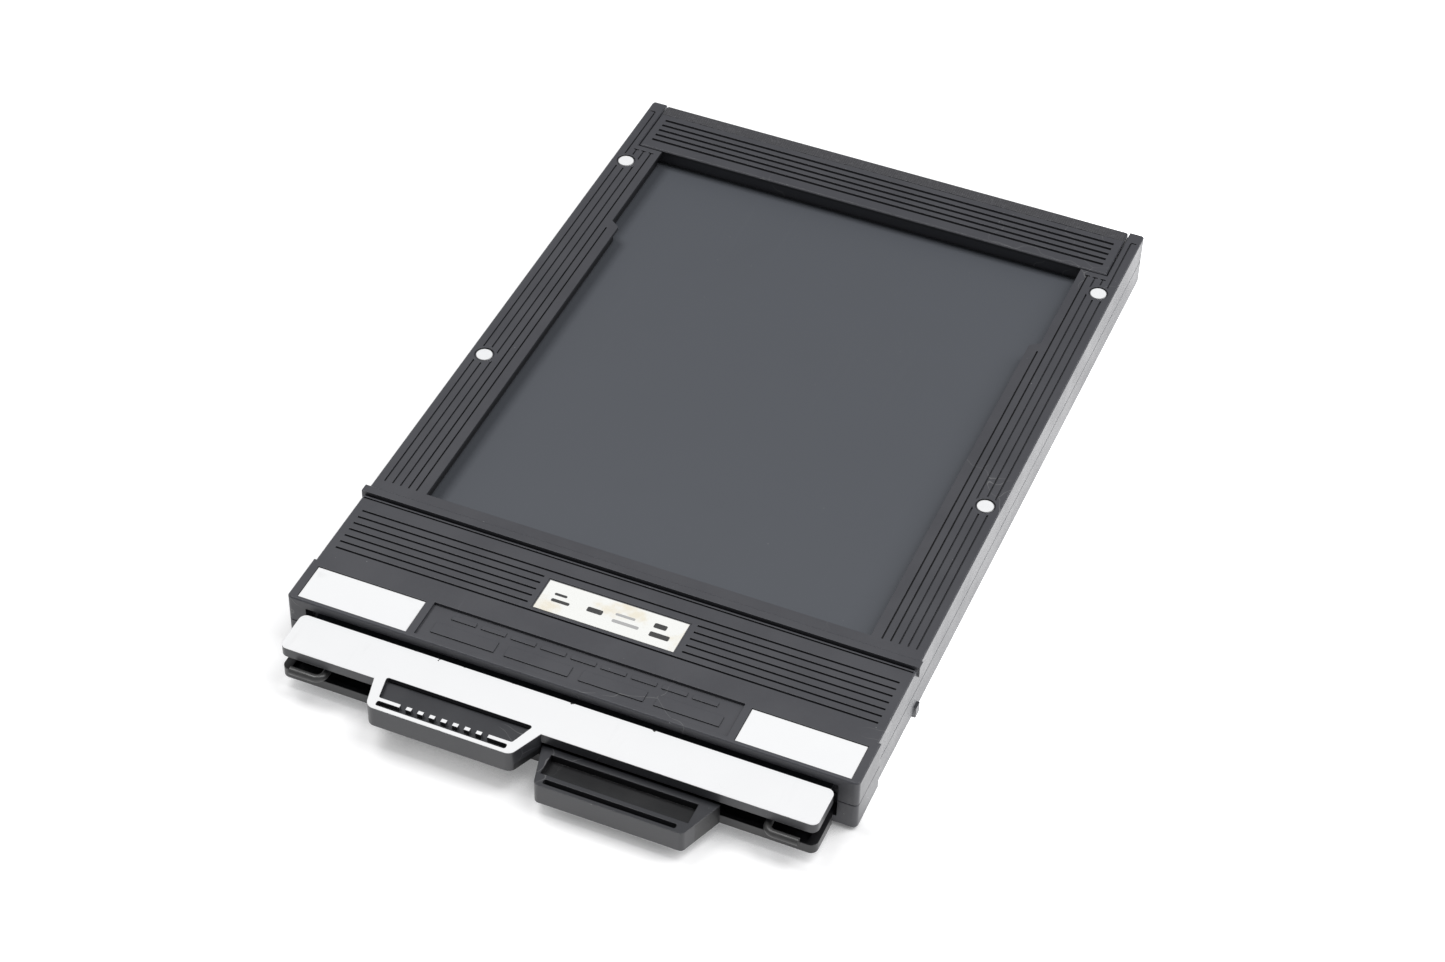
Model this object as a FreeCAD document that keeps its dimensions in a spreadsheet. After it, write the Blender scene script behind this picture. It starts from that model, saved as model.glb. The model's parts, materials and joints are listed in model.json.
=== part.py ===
import FreeCAD, Part
import math
import os
import re

import Sketcher

# Double-sided sheet film holder, 4x5 class, in millimetres.
#
# X runs across the holder, +Y points to the loading flaps, +Z is up. The origin is the centre of the
# holder's footprint, on the plane that the lower lock rib touches.
#
# The holder is two like halves, back to back. Each half is drawn in a half frame: z is 0 on the
# mid-plane and grows outwards. The upper half is only lifted to its height. The lower half is the
# same shape turned 180 degrees about the Y axis. Distances named *_near, *_far and *_back run from
# the handle-end face towards the flaps.

SIZES = (
    ("half_thickness", 6.3, "mid-plane to camera-side face"),
    ("rib_height", 0.8, "lock rib above the camera-side face"),
    ("handle_end", -78.5, "y of the handle-end face"),
    ("body_length", 176.8, "shell, handle end to rail ends"),
    ("body_half_width", 59.8, "shell, behind the grip"),
    ("grip_half_width", 60.3, "shell, at the handle end"),
    ("grip_length", 11.5, "length of the wider handle end"),
    ("grip_corner", 1.0, "upright corner radius, handle end"),
    ("rail_corner", 0.7, "upright corner radius, rail ends"),
    ("edge_bevel", 0.25, "bevel round the camera-side face"),
    ("seam_bevel", 0.15, "bevel where the halves meet, the parting line"),
    ("window_half_width", 48.3, "film window"),
    ("window_near", 36.9, "near edge of the window"),
    ("window_step_near", 131.2, "start of the side step"),
    ("window_step_far", 132.7, "end of the side step"),
    ("window_wide_half", 50.4, "window beyond the side step"),
    ("window_far", 160.2, "far edge of the window, where the rails part"),
    ("undercut", 1.2, "lower part of the window wall, set back"),
    ("undercut_high", 5.4, "top of the set-back wall"),
    ("rib_near", 31.9, "lock rib, near side"),
    ("rib_width", 2.0, "lock rib along y"),
    ("rib_half_length", 60.35, "lock rib, past the shell's sides"),
    ("rib_low", 4.5, "underside of the rib's ends"),
    ("rib_round", 0.3, "rounding of the rib's far top edge"),
    ("rib_groove", 0.35, "deep groove at the foot of the rib"),
    ("rib_groove_depth", 1.2, ""),
    ("rib_land", 0.35, "land between that groove and the fine line"),
    ("rib_line_width", 0.4, "fine line beside the land"),
    ("rib_line_depth", 0.6, ""),
    ("rib_groove_half", 59.4, "half length of groove and line"),
    ("groove_width", 0.45, "grip grooves"),
    ("groove_depth", 0.6, ""),
    ("groove_pitch", 1.9, ""),
    ("groove_count", 5, "grooves that stop at the sticker"),
    ("groove_first", 17.9, "nearest of them"),
    ("groove_near_line", 16.0, "full-length groove, near side"),
    ("groove_far_line", 27.4, "full-length groove, far side"),
    ("groove_half_length", 57.9, ""),
    ("sticker_half_length", 15.0, "size sticker"),
    ("sticker_near", 17.1, ""),
    ("sticker_width", 8.1, ""),
    ("sticker_thickness", 0.12, ""),
    ("sticker_margin", 0.35, "pocket round the sticker"),
    ("sticker_pocket", 0.2, "pocket depth"),
    ("sticker_land", 1.5, "flat land between sticker and grooves"),
    ("label_inner", 34.7, "writing label, inner end"),
    ("label_outer", 58.3, "writing label, outer end"),
    ("label_near", 1.0, ""),
    ("label_far", 9.7, ""),
    ("label_gap", 0.12, "pocket round the label"),
    ("label_pocket", 0.45, "pocket depth"),
    ("label_thickness", 0.25, ""),
    ("legend_half_length", 33.0, "recess between the labels"),
    ("legend_near", 1.2, ""),
    ("legend_far", 10.3, ""),
    ("legend_depth", 0.7, ""),
    ("legend_relief", 0.3, "raised bars in the recess"),
    ("long_bar_start", -30.45, ""),
    ("long_bar_length", 13.5, ""),
    ("long_bar_pitch", 15.8, ""),
    ("long_bar_count", 4, ""),
    ("long_bar_near", 3.2, ""),
    ("long_bar_width", 2.8, ""),
    ("short_bar_start", -28.2, ""),
    ("short_bar_length", 5.2, ""),
    ("short_bar_pitch", 6.4, ""),
    ("short_bar_count", 9, ""),
    ("short_bar_near", 7.8, ""),
    ("short_bar_width", 1.1, ""),
    ("rail_line_width", 0.35, "fine lines along the rails"),
    ("rail_line_depth", 0.5, ""),
    ("rail_line_outer", 57.8, "outermost line"),
    ("rail_line_pitch", 1.8, ""),
    ("rail_line_near", 37.0, ""),
    ("rail_line_hook", 173.0, "far end of the outermost line"),
    ("rail_line_far", 158.3, "far end of the next three"),
    ("rail_line_short", 130.0, "far end of the innermost line"),
    ("rail_dash_half", 0.6, "cross dash at a line's end"),
    ("rivet_x", 56.5, "frame rivets"),
    ("rivet_near", 80.4, ""),
    ("rivet_far", 153.7, ""),
    ("rivet_shank", 0.9, "radius"),
    ("rivet_hole", 0.95, "radius"),
    ("rivet_head", 1.75, "radius"),
    ("rivet_head_sunk", 0.05, "head below the face"),
    ("rivet_recess", 2.15, "radius"),
    ("rivet_recess_depth", 0.5, ""),
    ("rivet_land", 2.7, "radius of the plain disc round a rivet"),
    ("mouth_half_width", 56.2, "slot at the handle end"),
    ("mouth_half_height", 4.3, ""),
    ("mouth_depth", 3.0, ""),
    ("channel_half_width", 54.8, "dark slide channel"),
    ("channel_low", 1.30, ""),
    ("channel_high", 1.85, ""),
    ("trap_half_length", 55.0, "light-trap chamber"),
    ("trap_near", 4.5, ""),
    ("trap_far", 14.5, ""),
    ("trap_high", 3.35, ""),
    ("velvet_high", 2.5, "top of the velvet strip"),
    ("velvet_inset", 0.6, "velvet inside its chamber, each end of y"),
    ("spring_half_length", 52.0, "leaf spring over the velvet"),
    ("spring_thickness", 0.15, ""),
    ("spring_crown", 0.5, "half width of the spring's flat crown"),
    ("septum_half_width", 54.9, "septum plate"),
    ("septum_seat", 55.0, "seat for it in the shells"),
    ("septum_half_thick", 0.9, ""),
    ("septum_seat_high", 0.93, ""),
    ("septum_near", 30.2, ""),
    ("septum_far", 174.6, ""),
    ("septum_seat_near", 30.0, ""),
    ("septum_notch", 7.0, "finger notch radius"),
    ("guide_inner", 43.6, "film guide lip"),
    ("guide_stop", 44.8, "edge that the film lies against"),
    ("guide_outer", 51.5, ""),
    ("guide_seat", 51.6, ""),
    ("guide_near", 34.6, ""),
    ("guide_seat_near", 34.4, ""),
    ("guide_far", 159.5, ""),
    ("guide_low", 0.93, ""),
    ("guide_slot_high", 1.14, "film slot under the lip"),
    ("guide_high", 1.28, ""),
    ("slide_half_width", 54.5, "dark slide plate"),
    ("slide_low", 1.35, "film side of the plate"),
    ("slide_high", 1.80, "outer side of the plate"),
    ("slide_front", -6.6, "plate edge inside the handle"),
    ("slide_tip", 164.0, "plate edge under the flap"),
    ("slide_corner", 3.0, ""),
    ("handle_half_width", 56.2, "dark slide handle"),
    ("handle_front", -10.8, ""),
    ("handle_back", -1.2, ""),
    ("handle_high", 4.0, "outer face, under the white facing"),
    ("handle_corner", 1.5, ""),
    ("facing_thickness", 0.1, "white facing"),
    ("tray_half_length", 54.3, "hollow in the handle's film side"),
    ("tray_front", -9.7, ""),
    ("tray_back", -7.0, ""),
    ("tray_high", 2.9, ""),
    ("upper_tab_outer_front", -33.7, "finger tab, front corners"),
    ("lower_tab_outer_front", -33.2, ""),
    ("upper_tab_inner_front", -3.2, ""),
    ("lower_tab_inner_front", -2.7, ""),
    ("upper_tab_outer_root", -35.5, "finger tab, where it leaves the bar"),
    ("lower_tab_outer_root", -36.8, ""),
    ("tab_inner_root", -0.1, ""),
    ("tab_low", -0.95, "film side of the tab"),
    ("upper_tab_corner", 1.9, ""),
    ("lower_tab_corner", 1.2, ""),
    ("tab_overlap", 0.2, "tab into the bar"),
    ("tab_lip", 2.95, "front lip of the tab"),
    ("upper_tab_reach", 7.05, "tab in front of the bar"),
    ("lower_tab_reach", 9.4, ""),
    ("face_recess_back", -9.6, "recess in the tab's outer face"),
    ("face_recess_back_outer", -33.4, "its four corners along x"),
    ("face_recess_back_inner", -2.2, ""),
    ("face_recess_front_outer", -32.4, ""),
    ("face_recess_front_inner", -4.2, ""),
    ("face_recess_low", 2.9, ""),
    ("face_recess_corner", 0.5, ""),
    ("film_recess_back", -12.2, "recess in the tab's film side"),
    ("film_recess_outer", -33.1, ""),
    ("film_recess_inner", -2.7, ""),
    ("film_recess_high", 0.85, ""),
    ("dot_rib_width", 0.8, "rib between recess and slot"),
    ("dot_gap_start", -27.65, "first gap in that rib"),
    ("dot_gap", 1.35, ""),
    ("dot_pitch", 2.47, ""),
    ("dot_gap_count", 8, ""),
    ("lip_slot_front", 0.9, "slot in the lip, from its front"),
    ("lip_slot_outer", -32.2, ""),
    ("lip_slot_inner", -4.7, ""),
    ("lip_slot_corner", 0.42, ""),
    ("film_slot_outer", -31.4, "slot in the lip's film side"),
    ("film_slot_inner", -4.1, ""),
    ("film_slot_front", 0.8, "from the lip's front"),
    ("film_slot_back", 1.95, ""),
    ("film_slot_high", 0.55, ""),
    ("pin_radius", 0.7, "pins of plate and handle"),
    ("pin_high", 3.2, ""),
    ("pin_inner_x", 20.0, ""),
    ("pin_outer_x", 48.0, ""),
    ("pin_back", -4.3, ""),
    ("flap_half_width", 56.1, "loading flap"),
    ("flap_gap", 0.3, "flap to rail, each side"),
    ("flap_near", 160.5, ""),
    ("flap_far", 176.2, ""),
    ("flap_low", 1.9, "flap over the slide's tip"),
    ("skirt_near", 174.8, "skirt that closes the end"),
    ("skirt_low", 0.15, ""),
    ("flap_line_first", 163.55, "flap grooves"),
    ("flap_line_half", 54.35, ""),
    ("flap_line_width", 0.7, ""),
    ("flap_line_depth", 0.6, ""),
    ("tape_near", 173.0, "hinge tape on the flap"),
    ("tape_far", 176.4, ""),
    ("tape_half_width", 55.8, ""),
    ("tape_rebate", 0.2, ""),
    ("tape_high", 6.25, ""),
    ("tape_low", 0.1, ""),
    ("latch_x", 46.5, "latch pivot"),
    ("latch_radius", 0.8, "latch section"),
    ("latch_bore", 0.85, "bore in the shells"),
    ("latch_back", 15.0, "inner end of the latch"),
    ("latch_elbow", -12.3, "y of the arm"),
    ("latch_bend", 1.8, "centre-line radius of the elbow"),
    ("latch_reach", 6.8, "arm, from pivot to tip"),
    ("collar_radius", 1.05, "collar that keeps the latch in"),
    ("collar_pocket", 1.1, ""),
    ("collar_near", 9.0, ""),
    ("collar_far", 11.0, ""),
    ("collar_play", 0.1, ""),
)

RAIL_LINE_ENDS = ("rail_line_hook", "rail_line_far", "rail_line_far", "rail_line_far", "rail_line_short")
PIN_PLACES = ("-pin_outer_x", "-pin_inner_x", "pin_inner_x", "pin_outer_x")
HALVES = ("upper", "lower")
CLOSE = 1e-4

doc = FreeCAD.newDocument("SheetFilmHolder")


# Sizes and expressions -------------------------------------------------------------------------

def make_sheet():
    sheet = doc.addObject("Spreadsheet::Sheet", "Sizes")
    for row, (alias, number, note) in enumerate(SIZES, start=1):
        sheet.set(f"A{row}", alias)
        sheet.set(f"B{row}", str(number))
        sheet.setAlias(f"B{row}", alias)
        sheet.set(f"C{row}", note)
    return sheet


sizes = make_sheet()
doc.recompute()


def bind(text):
    """Point every size name in an expression at the sheet."""
    return re.sub(r"[a-z]\w*", lambda name: "Sizes." + name.group(), text)


def value(text):
    return float(sizes.evalExpression(bind(text)))


def along(distance):
    """Expression for the y of a point that lies this far behind the handle-end face."""
    return f"handle_end + ({distance})"


# Bodies, profiles and features -----------------------------------------------------------------

def place(item, half):
    """Lift an item from the half frame to its height, turned over for the lower half."""
    turn = FreeCAD.Rotation(FreeCAD.Vector(0, 1, 0), 180 if half == "lower" else 0)
    item.Placement = FreeCAD.Placement(FreeCAD.Vector(0, 0, 0), turn)
    item.setExpression("Placement.Base.z", bind("half_thickness + rib_height"))


def side_sign(half, side):
    """Sign of x in the half frame for a side of the whole holder."""
    return 1 if (side == "right") == (half == "upper") else -1


def new_body(label, half="upper"):
    body = doc.addObject("PartDesign::Body", label)
    body.Label = label
    place(body, half)
    return body


def origin_item(body, role):
    return next(item for item in body.Origin.OriginFeatures if item.Role == role)


def hold(profile, kind, element, point, expression):
    """Fix one coordinate of a sketch point to a size expression."""
    constraint = Sketcher.Constraint(kind, -1, 1, element, point, value(expression))
    profile.setExpression(f"Constraints[{profile.addConstraint(constraint)}]", bind(expression))


def add_outline(profile, corners):
    """Draw one closed polygon. A corner is a pair of expressions."""
    first = profile.GeometryCount
    count = len(corners)
    points = [FreeCAD.Vector(value(x), value(y), 0) for x, y in corners]
    profile.addGeometry([Part.LineSegment(points[i], points[(i + 1) % count]) for i in range(count)], False)
    profile.addConstraint([
        Sketcher.Constraint("Coincident", first + i, 2, first + (i + 1) % count, 1) for i in range(count)
    ])
    for i, (x, y) in enumerate(corners):
        hold(profile, "DistanceX", first + i, 1, x)
        hold(profile, "DistanceY", first + i, 1, y)


def add_circle(profile, x, y, radius):
    element = profile.GeometryCount
    centre = FreeCAD.Vector(value(x), value(y), 0)
    profile.addGeometry(Part.Circle(centre, FreeCAD.Vector(0, 0, 1), value(radius)), False)
    hold(profile, "DistanceX", element, 3, x)
    hold(profile, "DistanceY", element, 3, y)
    index = profile.addConstraint(Sketcher.Constraint("Radius", element, value(radius)))
    profile.setExpression(f"Constraints[{index}]", bind(radius))


def new_sketch(body, name, plane, position):
    """Sketch on an origin plane of the body, moved to a position along X, Y or Z."""
    profile = body.newObject("Sketcher::SketchObject", name)
    profile.AttachmentSupport = [(origin_item(body, plane), "")]
    profile.MapMode = "FlatFace"
    offset = f"-({position})" if plane == "XZ_Plane" else position
    profile.setExpression("AttachmentOffset.Base.z", bind(offset))
    return profile


def extrude(kind, body, name, low, high, outlines, circles, plane):
    """Fill or cut the profile between two positions along the plane's axis."""
    facing_back = plane == "XZ_Plane"
    from_low = (kind == "PartDesign::Pad") != facing_back
    profile = new_sketch(body, name + "_profile", plane, low if from_low else high)
    for corners in outlines:
        add_outline(profile, corners)
    for circle in circles:
        add_circle(profile, *circle)
    feature = body.newObject(kind, name)
    feature.Profile = profile
    feature.setExpression("Length", bind(f"({high}) - ({low})"))
    return feature


def pad(body, name, low, high, outlines=(), circles=(), plane="XY_Plane"):
    return extrude("PartDesign::Pad", body, name, low, high, outlines, circles, plane)


def cut(body, name, low, high, outlines=(), circles=(), plane="XY_Plane"):
    return extrude("PartDesign::Pocket", body, name, low, high, outlines, circles, plane)


def repeat(body, name, feature, role, pitch, count):
    """Repeat a feature along an axis of the body."""
    pattern = body.newObject("PartDesign::LinearPattern", name)
    pattern.Originals = [feature]
    pattern.Direction = (origin_item(body, role), [""])
    pattern.setExpression("Length", bind(f"{pitch} * ({count} - 1)"))
    pattern.setExpression("Occurrences", bind(count))
    body.Tip = pattern


def round_uprights(body, name, corners, radius):
    """Round the upright edges that stand on the given plan corners."""
    doc.recompute()
    base = body.Tip
    spots = [FreeCAD.Vector(value(x), value(y), 0) for x, y in corners]
    names = []
    for index, edge in enumerate(base.Shape.Edges, start=1):
        ends = [FreeCAD.Vector(v.X, v.Y, 0) for v in edge.Vertexes]
        upright = len(ends) == 2 and ends[0].distanceToPoint(ends[1]) < CLOSE
        if upright and any(ends[0].distanceToPoint(spot) < CLOSE for spot in spots):
            names.append(f"Edge{index}")
    fillet = body.newObject("PartDesign::Fillet", name)
    fillet.Base = (base, names)
    fillet.setExpression("Radius", bind(radius))


def round_long_edge(body, name, y, height, radius):
    """Round the edge that runs along X at a given y and height."""
    doc.recompute()
    base = body.Tip
    spot = (value(y), value(height))
    names = []
    for index, edge in enumerate(base.Shape.Edges, start=1):
        if all(abs(v.Y - spot[0]) < CLOSE and abs(v.Z - spot[1]) < CLOSE for v in edge.Vertexes):
            names.append(f"Edge{index}")
    fillet = body.newObject("PartDesign::Fillet", name)
    fillet.Base = (base, names)
    fillet.setExpression("Radius", bind(radius))


def bevel_face(body, name, height, size):
    """Bevel the edges of the largest flat face at a height."""
    doc.recompute()
    base = body.Tip
    level = value(height)
    flat = [
        (face.Area, index) for index, face in enumerate(base.Shape.Faces, start=1)
        if abs(face.BoundBox.ZMin - level) < CLOSE and abs(face.BoundBox.ZMax - level) < CLOSE
    ]
    chamfer = body.newObject("PartDesign::Chamfer", name)
    chamfer.Base = (base, [f"Face{max(flat)[1]}"])
    chamfer.setExpression("Size", bind(size))


# Plan shapes -----------------------------------------------------------------------------------

def rectangle(x_low, x_high, y_low, y_high):
    return [(x_low, y_low), (x_high, y_low), (x_high, y_high), (x_low, y_high)]


def centred(half_width, y_low, y_high):
    return rectangle(f"-({half_width})", half_width, y_low, y_high)


def mirrored(right_side):
    """Close a shape that is symmetric about x = 0, from its right-hand points."""
    return right_side + [(f"-({x})", y) for x, y in reversed(right_side)]


def both_sides(x_inner, x_outer, y_low, y_high):
    return [
        rectangle(x_inner, x_outer, y_low, y_high),
        rectangle(f"-({x_outer})", f"-({x_inner})", y_low, y_high),
    ]


def four_rivets(radius):
    return [
        (x, along(y), radius) for x in ("rivet_x", "-rivet_x") for y in ("rivet_near", "rivet_far")
    ]


# Shells ----------------------------------------------------------------------------------------

def shell_blank(body):
    """Outer form: wider grip, two rails that reach past the window, and the raised lock rib."""
    rail_inner = "flap_half_width + flap_gap"
    pad(body, "blank", "0", "half_thickness", [mirrored([
        ("grip_half_width", along("0")),
        ("grip_half_width", along("grip_length")),
        ("body_half_width", along("grip_length")),
        ("body_half_width", along("body_length")),
        (rail_inner, along("body_length")),
        (rail_inner, along("window_far")),
    ])])
    round_uprights(body, "grip_corners", [
        ("grip_half_width", along("0")), ("-grip_half_width", along("0")),
    ], "grip_corner")
    round_uprights(body, "rail_corners", [
        ("body_half_width", along("body_length")), ("-body_half_width", along("body_length")),
    ], "rail_corner")
    bevel_face(body, "face_bevel", "half_thickness", "edge_bevel")
    bevel_face(body, "parting_bevel", "0", "seam_bevel")
    pad(body, "lock_rib", "rib_low", "half_thickness + rib_height", [
        centred("rib_half_length", along("rib_near"), along("rib_near + rib_width")),
    ])
    rib_far = along("rib_near + rib_width")
    round_long_edge(body, "rib_rounding", rib_far, "half_thickness + rib_height", "rib_round")


def shell_cavities(body):
    """Window, dark slide channel, seats for septum and film guides, mouth and light-trap chamber."""
    open_end = along("window_far + 1")

    def window(growth):
        return [mirrored([
            (f"window_half_width + {growth}", along(f"window_near - {growth}")),
            (f"window_half_width + {growth}", along("window_step_near")),
            (f"window_wide_half + {growth}", along("window_step_far")),
            (f"window_wide_half + {growth}", open_end),
        ])]

    cut(body, "window", "0", "half_thickness", window("0"))
    cut(body, "window_undercut", "channel_high", "undercut_high", window("undercut"))
    cut(body, "septum_seat", "0", "septum_seat_high", [
        centred("septum_seat", along("septum_seat_near"), open_end),
    ])
    cut(body, "guide_seat", "0", "channel_low", [
        centred("guide_seat", along("guide_seat_near"), open_end),
    ])
    cut(body, "slide_channel", "channel_low", "channel_high", [
        centred("channel_half_width", along("-1"), open_end),
    ])
    cut(body, "mouth", "0", "mouth_half_height", [
        centred("mouth_half_width", along("-1"), along("mouth_depth")),
    ])
    cut(body, "light_trap_chamber", "channel_high", "trap_high", [
        centred("trap_half_length", along("trap_near"), along("trap_far")),
    ])


def shell_latch_bores(body):
    """Half-round bores for the two latches, with a wider pocket for each collar."""
    bores = [(x, "0", "latch_bore") for x in ("latch_x", "-latch_x")]
    pockets = [(x, "0", "collar_pocket") for x in ("latch_x", "-latch_x")]
    cut(body, "latch_bores", along("mouth_depth - 1"), along("latch_back + collar_play"),
        circles=bores, plane="XZ_Plane")
    cut(body, "collar_pockets", along("collar_near - collar_play"), along("collar_far + collar_play"),
        circles=pockets, plane="XZ_Plane")


def shell_grip_face(body):
    """Grooves beside the lock rib, grip grooves, sticker pocket, label pockets and legend recess."""
    top = "half_thickness"
    groove_edge = "rib_near - rib_groove"
    cut(body, "rib_groove_cut", f"{top} - rib_groove_depth", f"{top}", [
        centred("rib_groove_half", along(groove_edge), along("rib_near")),
    ])
    line_edge = f"{groove_edge} - rib_land"
    cut(body, "rib_line_cut", f"{top} - rib_line_depth", f"{top}", [
        centred("rib_groove_half", along(f"{line_edge} - rib_line_width"), along(line_edge)),
    ])
    half_line = "groove_width / 2"
    split = cut(body, "split_groove", f"{top} - groove_depth", f"{top}", both_sides(
        "sticker_half_length + sticker_land", "groove_half_length",
        along(f"groove_first - {half_line}"), along(f"groove_first + {half_line}"),
    ))
    repeat(body, "split_grooves", split, "Y_Axis", "groove_pitch", "groove_count")
    cut(body, "whole_grooves", f"{top} - groove_depth", f"{top}", [
        centred("groove_half_length", along(f"{line} - {half_line}"), along(f"{line} + {half_line}"))
        for line in ("groove_near_line", "groove_far_line")
    ])
    cut(body, "sticker_pocket_cut", f"{top} - sticker_pocket", f"{top}", [centred(
        "sticker_half_length + sticker_margin",
        along("sticker_near - sticker_margin"), along("sticker_near + sticker_width + sticker_margin"),
    )])
    cut(body, "label_pockets", f"{top} - label_pocket", f"{top}", both_sides(
        "label_inner - label_gap", "label_outer + label_gap",
        along("label_near - label_gap"), along("label_far + label_gap"),
    ))
    cut(body, "legend_recess", f"{top} - legend_depth", f"{top}", [
        centred("legend_half_length", along("legend_near"), along("legend_far")),
    ])
    floor = f"{top} - legend_depth"
    for size in ("long", "short"):
        bar = pad(body, f"{size}_bar", floor, f"{floor} + legend_relief", [rectangle(
            f"{size}_bar_start", f"{size}_bar_start + {size}_bar_length",
            along(f"{size}_bar_near"), along(f"{size}_bar_near + {size}_bar_width"),
        )])
        repeat(body, f"{size}_bars", bar, "X_Axis", f"{size}_bar_pitch", f"{size}_bar_count")


def shell_rail_face(body):
    """Fine lines along both rails, plain discs round the rivets, and the rivets' seats."""
    top = "half_thickness"
    half_line = "rail_line_width / 2"
    lines = []
    dashes = []
    for index, far_end in enumerate(RAIL_LINE_ENDS):
        x = f"rail_line_outer - {index} * rail_line_pitch"
        lines += both_sides(
            f"{x} - {half_line}", f"{x} + {half_line}", along("rail_line_near"), along(far_end),
        )
        inner = x if far_end == "rail_line_hook" else f"{x} - rail_dash_half"
        outer = f"{x} + 2 * rail_dash_half" if far_end == "rail_line_hook" else f"{x} + rail_dash_half"
        if far_end != "rail_line_short":
            dashes += both_sides(inner, outer, along(far_end), along(f"{far_end} + rail_line_width"))
    cut(body, "rail_lines", f"{top} - rail_line_depth", top, lines)
    cut(body, "rail_dashes", f"{top} - rail_line_depth", top, dashes)
    pad(body, "rivet_lands", f"{top} - rail_line_depth", top, circles=four_rivets("rivet_land"))
    cut(body, "rivet_recesses", f"{top} - rivet_recess_depth", top, circles=four_rivets("rivet_recess"))
    cut(body, "rivet_holes", "0", top, circles=four_rivets("rivet_hole"))


def make_shell(half):
    body = new_body(f"{half}_shell", half)
    shell_blank(body)
    shell_cavities(body)
    shell_latch_bores(body)
    shell_grip_face(body)
    shell_rail_face(body)
    return body


# Pieces inside the shells ----------------------------------------------------------------------

def make_septum():
    """Plate between the two film chambers, with a finger notch at the loading end."""
    body = new_body("septum_plate")
    low, high = "-septum_half_thick", "septum_half_thick"
    pad(body, "plate", low, high, [centred("septum_half_width", along("septum_near"), along("septum_far"))])
    cut(body, "finger_notch", low, high, circles=[("0", along("septum_far"), "septum_notch")])
    return body


def make_film_guide(half, side):
    """Strip that holds one long edge of the film, which slides in under its lip."""
    body = new_body(f"{half}_{side}_film_guide", half)
    sign = side_sign(half, side)
    section = [
        ("guide_inner", "guide_slot_high"), ("guide_stop", "guide_slot_high"), ("guide_stop", "guide_low"),
        ("guide_outer", "guide_low"), ("guide_outer", "guide_high"), ("guide_inner", "guide_high"),
    ]
    pad(body, "strip", along("guide_near"), along("guide_far"),
        [[(f"{sign} * {x}", z) for x, z in section]], plane="XZ_Plane")
    return body


def make_velvet(half):
    """Velvet-faced strip that lies on the dark slide and keeps light out of the mouth."""
    body = new_body(f"{half}_light_trap_velvet", half)
    pad(body, "strip", "channel_high", "velvet_high", [
        centred("trap_half_length - velvet_inset", along("trap_near + velvet_inset"),
                along("trap_far - velvet_inset")),
    ])
    return body


def make_spring(half):
    """Thin roof-shaped leaf spring that presses the velvet onto the slide."""
    body = new_body(f"{half}_light_trap_spring", half)
    near, far = along("trap_near + velvet_inset"), along("trap_far - velvet_inset")
    centre = along("(trap_near + trap_far) / 2")
    low, high = "velvet_high", "trap_high - spring_thickness"
    under = [(near, low), (f"{centre} - spring_crown", high), (f"{centre} + spring_crown", high), (far, low)]
    over = [(y, f"{z} + spring_thickness") for y, z in reversed(under)]
    pad(body, "leaf", "-spring_half_length", "spring_half_length", [under + over], plane="YZ_Plane")
    return body


def make_label(half, side):
    """Matt white writing label, let into its pocket beside the legend recess."""
    body = new_body(f"{half}_{side}_writing_label", half)
    sign = side_sign(half, side)
    floor = "half_thickness - label_pocket"
    ends = ("label_inner", "label_outer") if sign > 0 else ("-label_outer", "-label_inner")
    pad(body, "label", floor, f"{floor} + label_thickness",
        [rectangle(*ends, along("label_near"), along("label_far"))])
    return body


def make_sticker(half):
    body = new_body(f"{half}_size_sticker", half)
    floor = "half_thickness - sticker_pocket"
    pad(body, "sticker", floor, f"{floor} + sticker_thickness", [
        centred("sticker_half_length", along("sticker_near"), along("sticker_near + sticker_width")),
    ])
    return body


# Dark slides -----------------------------------------------------------------------------------

def handle_outline(half):
    """Bar with the finger tab in front of it, as one polygon."""
    front = along("handle_front")
    tab_front = along(f"handle_front - {half}_tab_reach")
    return [
        ("handle_half_width", along("handle_back")), ("-handle_half_width", along("handle_back")),
        ("-handle_half_width", front),
        (f"{half}_tab_outer_root", front), (f"{half}_tab_outer_front", tab_front),
        (f"{half}_tab_inner_front", tab_front), ("tab_inner_root", front),
        ("handle_half_width", front),
    ]


def round_handle(body, half):
    outline = handle_outline(half)
    bar_corners = [outline[index] for index in (0, 1, 2, 7)]
    tab_corners = [outline[index] for index in (4, 5)]
    round_uprights(body, "bar_corners", bar_corners, "handle_corner")
    round_uprights(body, "tab_corners", tab_corners, f"{half}_tab_corner")


def cut_tab_face(body, half, low, high):
    """Recess, slot and the row of gaps that leaves raised blocks, in the tab's outer face."""
    tab_front = along(f"handle_front - {half}_tab_reach")
    recess_front = f"{tab_front} + tab_lip"
    rib_front = f"{recess_front} - dot_rib_width"
    recess_back = along("face_recess_back")
    recess = [
        ("face_recess_back_outer", recess_back), ("face_recess_front_outer", recess_front),
        ("face_recess_front_inner", recess_front), ("face_recess_back_inner", recess_back),
    ]
    slot = rectangle("lip_slot_outer", "lip_slot_inner", f"{tab_front} + lip_slot_front", rib_front)
    cut(body, "face_recess", low, high, [recess])
    cut(body, "face_slot", low, high, [slot])
    round_uprights(body, "recess_corners", recess, "face_recess_corner")
    round_uprights(body, "slot_ends", slot, "lip_slot_corner")
    gap = cut(body, "dot_gap_cut", low, high, [
        rectangle("dot_gap_start", "dot_gap_start + dot_gap", rib_front, recess_front),
    ])
    repeat(body, "dot_gaps", gap, "X_Axis", "dot_pitch", "dot_gap_count")


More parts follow.
